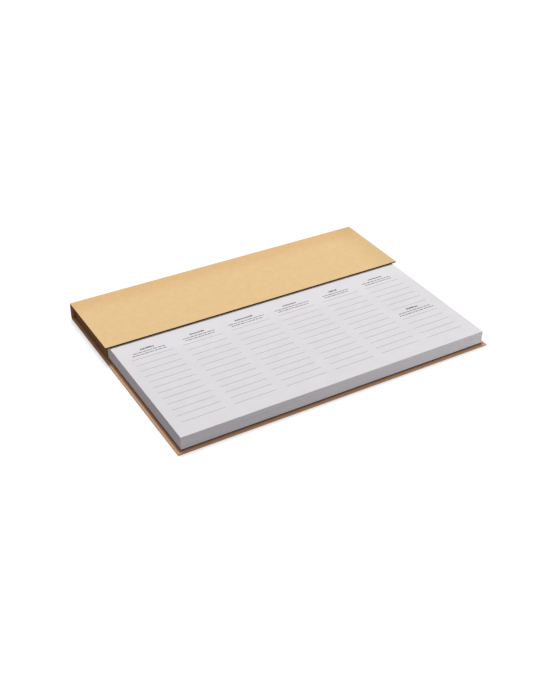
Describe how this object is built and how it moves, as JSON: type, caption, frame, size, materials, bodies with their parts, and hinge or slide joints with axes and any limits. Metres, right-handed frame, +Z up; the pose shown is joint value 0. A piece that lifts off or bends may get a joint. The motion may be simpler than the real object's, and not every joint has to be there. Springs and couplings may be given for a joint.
{
  "type": "weekly desk planner",
  "caption": "Desk planner: kraft-covered hard case with a hinged top flap over a filler block, and a tear-off pad of ruled week sheets on its base.",
  "frame": {"origin": "centre of the case's outline on the surface it lies on", "axes": "+X to the planner's right along its long side, +Y from the open front edge back to the spine, +Z up"},
  "size_m": [0.3052, 0.2196, 0.0165],
  "materials": {
    "kraft_cover": "uncoated brown kraft paper over board",
    "kraft_lining": "uncoated brown kraft paper",
    "backing_card": "plain brown card",
    "planner_paper": "uncoated white writing paper",
    "pad_glue": "dried padding glue",
    "print_ink": "grey print on the top sheet"
  },
  "bodies": {
    "case": {"base_board": "kraft_cover", "spine_board": "kraft_cover", "case_lining": "kraft_lining", "backing_card": "backing_card", "planner_sheets": "planner_paper", "glue_strip": "pad_glue", "header_block": "kraft_cover"},
    "flap": {"flap_board": "kraft_cover", "flap_lining": "kraft_lining"}
  },
  "joints": [
    {"name": "flap_hinge", "type": "hinge", "parent": "case", "child": "flap", "pos_m": [0, 0.10975, 0.0157], "axis": [-1, 0, 0], "range_deg": [0, 180]}
  ]
}
